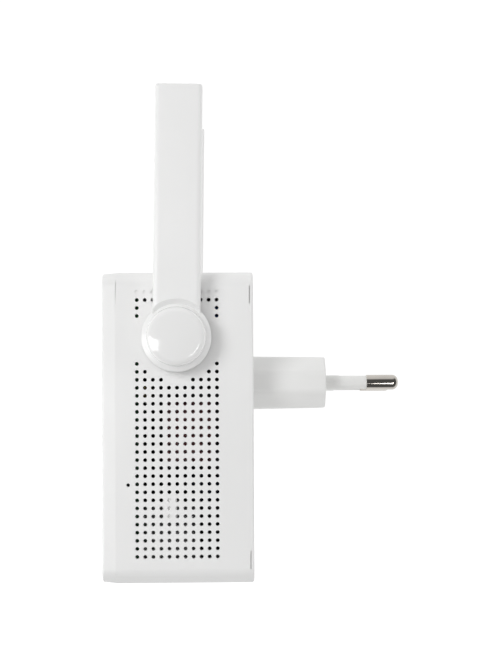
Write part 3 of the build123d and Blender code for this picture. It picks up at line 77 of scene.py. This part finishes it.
def make_camera():
    data = bpy.data.cameras.new("camera")
    data.lens = CAMERA_LENS
    data.sensor_width = SENSOR_WIDTH
    data.clip_start = NEAREST
    data.clip_end = FARTHEST
    camera = bpy.data.objects.new("camera", data)
    bpy.context.scene.collection.objects.link(camera)
    camera.location = CAMERA_PLACE
    aim = Vector((-1.0, math.tan(CAMERA_YAW), math.tan(CAMERA_PITCH)))
    camera.rotation_mode = "QUATERNION"
    roll = Quaternion((0, 0, 1), CAMERA_ROLL)
    camera.rotation_quaternion = aim.to_track_quat("-Z", "Y") @ roll
    bpy.context.scene.camera = camera


make_camera()


# ---------------------------------------------------------------- material kit
RANGE_SOCKETS = ("From Min", "From Max", "To Min", "To Max")
PLASTIC_TONE = 0.012
PLASTIC_GLOSS = 0.12
WAVE_DEPTH = 6
GLOSS_PATCH = 4
COAT_ROUGHNESS = 0.05
METAL_TONE = 0.05
METAL_PATCH = 0.003
METAL_GLOSS = 0.3
BOARD_MASK = (0.02, 0.11, 0.05)
BOARD_DARK = (0.015, 0.09, 0.04, 1)
BOARD_LIGHT = (0.02, 0.12, 0.05, 1)
BOARD_TRACK = (0.05, 0.22, 0.09, 1)
BOARD_SCALE = 420.0
BOARD_TRACK_WIDTH = 0.12
BOARD_RELIEF = 2e-5
CLEAR_TRANSMISSION = 0.6
CLEAR_INDEX = 1.49


class Recipe:
    """A principled material under construction: short calls add nodes and link them."""

    def __init__(self, name, color, roughness, metallic=0.0):
        self.material = bpy.data.materials.new(name)
        self.material.use_nodes = True
        self.tree = self.material.node_tree
        self.shader = self.tree.nodes["Principled BSDF"]
        self.shader.inputs["Metallic"].default_value = metallic
        self.color = color
        self.roughness = roughness
        self.place = self.add("ShaderNodeTexCoord").outputs["Object"]

    def add(self, kind, **settings):
        node = self.tree.nodes.new(kind)
        for key, value in settings.items():
            setattr(node, key, value)
        return node

    def link(self, a, b):
        self.tree.links.new(a, b)

    def noise(self, size, detail=2.0, stretch=(1.0, 1.0, 1.0)):
        """Noise whose features are about that size, in metres."""
        mapping = self.add("ShaderNodeMapping")
        mapping.inputs["Scale"].default_value = tuple(s / size for s in stretch)
        self.link(self.place, mapping.inputs["Vector"])
        node = self.add("ShaderNodeTexNoise")
        node.inputs["Scale"].default_value = 1.0
        node.inputs["Detail"].default_value = detail
        self.link(mapping.outputs["Vector"], node.inputs["Vector"])
        return node.outputs["Fac"]

    def spread(self, value, low, high, start=0.3, end=0.7):
        """Maps a texture value to a range."""
        node = self.add("ShaderNodeMapRange")
        for key, number in zip(RANGE_SOCKETS, (start, end, low, high)):
            node.inputs[key].default_value = number
        self.link(value, node.inputs["Value"])
        return node.outputs["Result"]

    def tint(self, value, amount):
        """Varies the base colour by a small share, between two close tones."""
        mix = self.add("ShaderNodeMix", data_type="RGBA")
        mix.inputs[6].default_value = (*[c * (1 - amount) for c in self.color], 1)
        mix.inputs[7].default_value = (*[min(1.0, c * (1 + amount)) for c in self.color], 1)
        self.link(self.spread(value, 0, 1), mix.inputs["Factor"])
        self.link(mix.outputs[2], self.shader.inputs["Base Color"])
        return mix.outputs[2]

    def polish(self, value, amount):
        """Varies the roughness about its middle value."""
        low, high = self.roughness - amount, self.roughness + amount
        self.link(self.spread(value, low, high), self.shader.inputs["Roughness"])

    def relief(self, value, depth):
        """Bumps the surface by a depth in metres, over any relief already there."""
        bump = self.add("ShaderNodeBump")
        bump.inputs["Strength"].default_value = 1.0
        bump.inputs["Distance"].default_value = depth
        self.link(value, bump.inputs["Height"])
        normal = self.shader.inputs["Normal"]
        if normal.is_linked:
            self.link(normal.links[0].from_socket, bump.inputs["Normal"])
        self.link(bump.outputs["Normal"], normal)


def moulded(name, color, roughness, grain=0.0004, depth=3e-6, flow=0.02, coat=0.0):
    """Moulded plastic: a fine grain, slow waves of the surface, and slight differences in tone."""
    recipe = Recipe(name, color, roughness)
    recipe.tint(recipe.noise(flow, 3.0), PLASTIC_TONE)
    recipe.polish(recipe.noise(grain * GLOSS_PATCH, 3.0), roughness * PLASTIC_GLOSS)
    recipe.relief(recipe.noise(flow, 1.0), depth * WAVE_DEPTH)
    recipe.relief(recipe.noise(grain, 2.0), depth)
    recipe.shader.inputs["Coat Weight"].default_value = coat
    recipe.shader.inputs["Coat Roughness"].default_value = COAT_ROUGHNESS
    return recipe.material


def metal(name, color, roughness, stretch=(1.0, 1.0, 1.0), grain=0.0002, depth=1e-6):
    """Metal with fine lines drawn along one axis."""
    recipe = Recipe(name, color, roughness, metallic=1.0)
    lines = recipe.noise(grain, 3.0, stretch)
    recipe.tint(recipe.noise(METAL_PATCH, 3.0), METAL_TONE)
    recipe.polish(lines, roughness * METAL_GLOSS)
    recipe.relief(lines, depth)
    return recipe.material


def circuit_board(name):
    """Solder mask over copper tracks: fine square tracks, a little lighter than the mask."""
    recipe = Recipe(name, BOARD_MASK, 0.35)
    brick = recipe.add("ShaderNodeTexBrick")
    brick.inputs["Scale"].default_value = BOARD_SCALE
    brick.inputs["Mortar Size"].default_value = BOARD_TRACK_WIDTH
    brick.inputs["Color1"].default_value = BOARD_DARK
    brick.inputs["Color2"].default_value = BOARD_LIGHT
    brick.inputs["Mortar"].default_value = BOARD_TRACK
    mapping = recipe.add("ShaderNodeMapping")
    mapping.inputs["Rotation"].default_value = (math.pi / 2, 0, 0)
    recipe.link(recipe.place, mapping.inputs["Vector"])
    recipe.link(mapping.outputs["Vector"], brick.inputs["Vector"])
    recipe.link(brick.outputs["Color"], recipe.shader.inputs["Base Color"])
    recipe.relief(brick.outputs["Fac"], BOARD_RELIEF)
    recipe.polish(recipe.noise(0.002), 0.06)
    return recipe.material


def clear_plastic(name):
    """A clear part that lets the light through, with a faint waviness."""
    recipe = Recipe(name, (0.95, 0.96, 0.96), 0.12)
    recipe.tint(recipe.noise(0.004), 0.01)
    recipe.polish(recipe.noise(0.0006), 0.05)
    recipe.relief(recipe.noise(0.0008), 4e-6)
    recipe.shader.inputs["Transmission Weight"].default_value = CLEAR_TRANSMISSION
    recipe.shader.inputs["IOR"].default_value = CLEAR_INDEX
    return recipe.material


MATERIALS = {
    "white_plastic": moulded("white_plastic", (0.88, 0.88, 0.875), 0.45),
    "antenna_plastic": moulded("antenna_plastic", (0.90, 0.90, 0.895), 0.4, depth=2e-6),
    "cap_plastic": moulded("cap_plastic", (0.90, 0.90, 0.895), 0.1, depth=2e-7, coat=0.6),
    "plug_plastic": moulded("plug_plastic", (0.87, 0.87, 0.86), 0.55, depth=5e-6),
    "sleeve_plastic": moulded("sleeve_plastic", (0.85, 0.85, 0.835), 0.55, depth=4e-6),
    "black_plastic": moulded("black_plastic", (0.02, 0.02, 0.02), 0.5, depth=6e-6),
    "ferrite": moulded("ferrite", (0.035, 0.035, 0.04), 0.6, depth=1e-5),
    "winding_tape": moulded("winding_tape", (0.80, 0.38, 0.40), 0.28, depth=4e-6, flow=0.004),
    "can_sleeve": moulded("can_sleeve", (0.02, 0.025, 0.06), 0.25, depth=2e-6, flow=0.004),
    "blue_epoxy": moulded("blue_epoxy", (0.03, 0.14, 0.42), 0.3, depth=1e-5, flow=0.003),
    "thermal_gel": moulded("thermal_gel", (0.35, 0.42, 0.5), 0.7, depth=1e-5),
    "lead_jacket": moulded("lead_jacket", (0.06, 0.06, 0.06), 0.4, depth=2e-6),
    "lamp": moulded("lamp", (0.8, 0.8, 0.6), 0.2, depth=2e-6),
    "film": moulded("film", (0.6, 0.63, 0.65), 0.3, depth=4e-6),
    "dark_film": moulded("dark_film", (0.03, 0.03, 0.03), 0.35, depth=4e-6),
    "nickel": metal("nickel", (0.56, 0.53, 0.49), 0.1, stretch=(6.0, 0.4, 6.0), depth=1e-7),
    "steel": metal("steel", (0.55, 0.55, 0.56), 0.35),
    "aluminium": metal("aluminium", (0.75, 0.76, 0.78), 0.4, stretch=(0.2, 6.0, 6.0)),
    "gold": metal("gold", (0.85, 0.62, 0.25), 0.25),
    "circuit_board": circuit_board("circuit_board"),
    "clear_plastic": clear_plastic("clear_plastic"),
}
SLOTS = {part["node"]: part["material_slot"] for part in frame["record"]["subparts"]}


JOIN_DISTANCE = 1e-6
SHARP_ANGLE = math.radians(32)


def smoothing_group():
    """A modifier for the CAD nodes: joins their faces' edges and shades them smooth up to an angle."""
    group = bpy.data.node_groups.new("shade_by_angle", "GeometryNodeTree")
    group.interface.new_socket("Geometry", in_out="INPUT", socket_type="NodeSocketGeometry")
    group.interface.new_socket("Geometry", in_out="OUTPUT", socket_type="NodeSocketGeometry")
    start = group.nodes.new("NodeGroupInput")
    end = group.nodes.new("NodeGroupOutput")
    merge = group.nodes.new("GeometryNodeMergeByDistance")
    merge.inputs["Distance"].default_value = JOIN_DISTANCE
    faces = group.nodes.new("GeometryNodeSetShadeSmooth")
    edges = group.nodes.new("GeometryNodeSetShadeSmooth")
    edges.domain = "EDGE"
    edges.inputs["Shade Smooth"].default_value = False
    angle = group.nodes.new("GeometryNodeInputMeshEdgeAngle")
    sharp = group.nodes.new("FunctionNodeCompare")
    sharp.inputs["B"].default_value = SHARP_ANGLE
    group.links.new(start.outputs[0], merge.inputs["Geometry"])
    group.links.new(merge.outputs["Geometry"], faces.inputs["Geometry"])
    group.links.new(faces.outputs["Geometry"], edges.inputs["Geometry"])
    group.links.new(angle.outputs["Unsigned Angle"], sharp.inputs["A"])
    group.links.new(sharp.outputs["Result"], edges.inputs["Selection"])
    group.links.new(edges.outputs["Geometry"], end.inputs[0])
    return group


SMOOTHING = smoothing_group()
for name, node in NODES.items():
    node.data.materials.clear()
    node.data.materials.append(MATERIALS[SLOTS[name]])
    node.modifiers.new("shade_by_angle", "NODES").node_group = SMOOTHING


# ---------------------------------------------------------------- hub caps
CAP_RIM = 1.9 * MM
CAP_CROWN = 45.0 * MM
CAP_RINGS = 28
CAP_SEGMENTS = 128
RIM_RINGS = 12
CAP_INSET = 0.03 * MM
CAP_SEAT_OUT = 34.15 * MM


def cap_profile(radius, bottom, top):
    """(distance from the axis, distance outwards) down a cap: a shallow dome, a round rim, a side."""
    centre = top - CAP_CROWN
    turn = math.asin((radius - CAP_RIM) / (CAP_CROWN - CAP_RIM))
    rim_out = centre + (CAP_CROWN - CAP_RIM) * math.cos(turn)
    profile = []
    for ring in range(1, CAP_RINGS + 1):
        angle = turn * ring / CAP_RINGS
        profile.append((CAP_CROWN * math.sin(angle), centre + CAP_CROWN * math.cos(angle)))
    for ring in range(1, RIM_RINGS + 1):
        angle = turn + (math.pi / 2 - turn) * ring / RIM_RINGS
        profile.append((radius - CAP_RIM + CAP_RIM * math.sin(angle), rim_out + CAP_RIM * math.cos(angle)))
    profile.append((radius, bottom))
    return profile


def make_cap(name, side):
    """A smooth glossy cap over one hub, in place of the faceted one."""
    node = f"antenna_{name}_hub_cap"
    low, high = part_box(node)
    centre = (low + high) / 2
    bottom, top = CAP_SEAT_OUT, max(abs(low.x), abs(high.x)) - CAP_INSET
    radius = (high.z - low.z) / 2 - CAP_INSET
    mesh = bpy.data.meshes.new(f"cap_{name}")
    shape = bmesh.new()
    pole = shape.verts.new((side * top, centre.y, centre.z))
    rings = []
    for out_radius, out in cap_profile(radius, bottom, top):
        ring = []
        for step in range(CAP_SEGMENTS):
            turn = math.tau * step / CAP_SEGMENTS
            y = centre.y + out_radius * math.cos(turn)
            z = centre.z + out_radius * math.sin(turn)
            ring.append(shape.verts.new((side * out, y, z)))
        rings.append(ring)
    for step in range(CAP_SEGMENTS):
        after = (step + 1) % CAP_SEGMENTS
        shape.faces.new((pole, rings[0][step], rings[0][after]))
        for inner, outer in zip(rings, rings[1:]):
            shape.faces.new((inner[step], outer[step], outer[after], inner[after]))
    shape.faces.new(rings[-1])
    bmesh.ops.recalc_face_normals(shape, faces=shape.faces)
    for face in shape.faces:
        face.smooth = len(face.verts) < CAP_SEGMENTS
    shape.to_mesh(mesh)
    shape.free()
    cap = bpy.data.objects.new(f"cap_{name}", mesh)
    bpy.context.scene.collection.objects.link(cap)
    mesh.materials.append(MATERIALS["cap_plastic"])
    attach(cap, f"antenna_{name}")
    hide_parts(node)


for name, side in SIDES.items():
    make_cap(name, side)


# ---------------------------------------------------------------- rating label
LABEL_WIDTH = 34.0 * MM
LABEL_HEIGHT = 22.0 * MM
LABEL_CORNER = 2.0 * MM
LABEL_THICKNESS = 0.08 * MM
LABEL_MIDDLE = 22.0 * MM
CORNER_STEPS = 8


def make_label():
    """A blank paper label with round corners, on the wall-side face below the plug."""
    outline = []
    for quarter, (a, b) in enumerate(((1, 1), (-1, 1), (-1, -1), (1, -1))):
        for step in range(CORNER_STEPS + 1):
            turn = math.pi / 2 * (quarter + step / CORNER_STEPS)
            x = a * (LABEL_WIDTH / 2 - LABEL_CORNER) + LABEL_CORNER * math.cos(turn)
            z = b * (LABEL_HEIGHT / 2 - LABEL_CORNER) + LABEL_CORNER * math.sin(turn)
            outline.append((x, z))
    shape = bmesh.new()
    inner = [shape.verts.new((x, 0, LABEL_MIDDLE + z)) for x, z in outline]
    outer = [shape.verts.new((x, LABEL_THICKNESS, LABEL_MIDDLE + z)) for x, z in outline]
    shape.faces.new(inner)
    shape.faces.new(outer)
    for step in range(len(outline)):
        after = (step + 1) % len(outline)
        shape.faces.new((inner[step], inner[after], outer[after], outer[step]))
    bmesh.ops.recalc_face_normals(shape, faces=shape.faces)
    mesh = bpy.data.meshes.new("rating_label")
    shape.to_mesh(mesh)
    shape.free()
    label = bpy.data.objects.new("rating_label", mesh)
    bpy.context.scene.collection.objects.link(label)
    paper = moulded("label_paper", (0.72, 0.72, 0.70), 0.6, grain=0.0002, depth=4e-6, flow=0.006)
    mesh.materials.append(paper)
    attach(label, "case")


make_label()


# ---------------------------------------------------------------- floor, world and lights
AMBIENT_FRONT = 0.52
AMBIENT_BACK = 1.1
REFLECTED_FRONT = 0.1
REFLECTED_BACK = 1.0
REFLECTED_TOP = 0.9
# Where each change of brightness starts and ends, along the ray's direction.
AMBIENT_TURN = (0.3, -0.3)
REFLECTED_TURN = (0.25, -0.2)
REFLECTED_RISE = (0.55, 0.92)
BACKDROP = 1.05
KEY_PLACE = (0.345, -0.21, 0.134)
KEY_SIZE = 0.15
FILL_PLACE = (0.22, 0.42, 0.06)
FILL_SIZE = 0.3
WINDOW_PLACE = (0.62, -0.3, -0.01)
WINDOW_WIDTH = 1.15
WINDOW_HEIGHT = 0.17
STRIP_PLACE = (0.376, 0.15, -0.065)
STRIP_WIDTH = 0.17
STRIP_HEIGHT = 0.07
STRIP_ROLL = math.radians(53)
KEY_POWER = 0.56
FILL_POWER = 0.3
WINDOW_POWER = 3.4
STRIP_POWER = 0.24
FLOOR_HALF = 3.0
FLOOR_CELLS = 8
FLOOR_GLOW = 0.82
WHITE = (1, 1, 1, 1)


def make_floor():
    """A glowing white ground below the object; it casts no shadow and takes no part in reflections."""
    mesh = bpy.data.meshes.new("floor")
    grid = bmesh.new()
    bmesh.ops.create_grid(grid, x_segments=FLOOR_CELLS, y_segments=FLOOR_CELLS, size=FLOOR_HALF)
    grid.to_mesh(mesh)
    grid.free()
    floor = bpy.data.objects.new("floor", mesh)
    bpy.context.scene.collection.objects.link(floor)
    recipe = Recipe("floor", (0.5, 0.5, 0.5), 0.9)
    recipe.tint(recipe.noise(0.4), 0.005)
    recipe.polish(recipe.noise(0.1), 0.05)
    recipe.shader.inputs["Specular IOR Level"].default_value = 0.1
    recipe.shader.inputs["Emission Color"].default_value = WHITE
    recipe.shader.inputs["Emission Strength"].default_value = FLOOR_GLOW
    mesh.materials.append(recipe.material)
    floor.visible_glossy = False
    floor.visible_diffuse = False
    floor.visible_shadow = False


def make_world():
    """A white tent, brightest behind the object; in reflections its front is dark below the top."""
    world = bpy.data.worlds.new("studio")
    bpy.context.scene.world = world
    world.use_nodes = True
    tree = world.node_tree
    tree.nodes.clear()
    direction = tree.nodes.new("ShaderNodeSeparateXYZ")
    tree.links.new(tree.nodes.new("ShaderNodeTexCoord").outputs["Generated"], direction.inputs[0])

    def ramp(socket, start, end, low, high):
        node = tree.nodes.new("ShaderNodeMapRange")
        node.interpolation_type = "SMOOTHSTEP"
        for key, number in zip(RANGE_SOCKETS, (start, end, low, high)):
            node.inputs[key].default_value = number
        tree.links.new(direction.outputs[socket], node.inputs["Value"])
        return node.outputs["Result"]

    def light(level):
        node = tree.nodes.new("ShaderNodeBackground")
        node.inputs["Color"].default_value = WHITE
        if isinstance(level, float):
            node.inputs["Strength"].default_value = level
        else:
            tree.links.new(level, node.inputs["Strength"])
        return node.outputs["Background"]

    def choose(ray, otherwise, when):
        node = tree.nodes.new("ShaderNodeMixShader")
        tree.links.new(path.outputs[ray], node.inputs["Fac"])
        tree.links.new(otherwise, node.inputs[1])
        tree.links.new(when, node.inputs[2])
        return node.outputs["Shader"]

    path = tree.nodes.new("ShaderNodeLightPath")
    brightest = tree.nodes.new("ShaderNodeMath")
    brightest.operation = "MAXIMUM"
    behind = ramp("X", *REFLECTED_TURN, REFLECTED_FRONT, REFLECTED_BACK)
    above = ramp("Z", *REFLECTED_RISE, REFLECTED_FRONT, REFLECTED_TOP)
    tree.links.new(behind, brightest.inputs[0])
    tree.links.new(above, brightest.inputs[1])
    ambient = light(ramp("X", *AMBIENT_TURN, AMBIENT_FRONT, AMBIENT_BACK))
    lit = choose("Is Glossy Ray", ambient, light(brightest.outputs["Value"]))
    output = tree.nodes.new("ShaderNodeOutputWorld")
    tree.links.new(choose("Is Camera Ray", lit, light(BACKDROP)), output.inputs["Surface"])


def softbox(name, place, target, width, height, power, seen_by, roll=0.0):
    """An area light that lights matt surfaces only ("matt"), or shows in reflections only ("gloss")."""
    data = bpy.data.lights.new(name, "AREA")
    data.shape = "RECTANGLE"
    data.size, data.size_y = width, height
    data.energy = power
    light = bpy.data.objects.new(name, data)
    bpy.context.scene.collection.objects.link(light)
    light.location = place
    light.rotation_mode = "QUATERNION"
    aim = (Vector(target) - Vector(place)).to_track_quat("-Z", "Y")
    light.rotation_quaternion = aim @ Quaternion((0, 0, 1), roll)
    light.visible_glossy = seen_by == "gloss"
    light.visible_diffuse = seen_by == "matt"
    light.visible_camera = False


middle = (cad_low + cad_high) / 2
hub_low, hub_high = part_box("antenna_right_hub_cap")
hub = (hub_low + hub_high) / 2
plug_low, plug_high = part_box("plug_body")
plug = (plug_low + plug_high) / 2
make_floor()
make_world()
across_window = (WINDOW_PLACE[0], 0.0, WINDOW_PLACE[2])
softbox("key", KEY_PLACE, middle, KEY_SIZE, KEY_SIZE, KEY_POWER, "matt")
softbox("fill", FILL_PLACE, plug, FILL_SIZE, FILL_SIZE, FILL_POWER, "matt")
softbox("window", WINDOW_PLACE, across_window, WINDOW_WIDTH, WINDOW_HEIGHT, WINDOW_POWER, "gloss")
softbox("strip", STRIP_PLACE, hub, STRIP_WIDTH, STRIP_HEIGHT, STRIP_POWER, "gloss", STRIP_ROLL)

bpy.context.scene.view_settings.view_transform = "Standard"
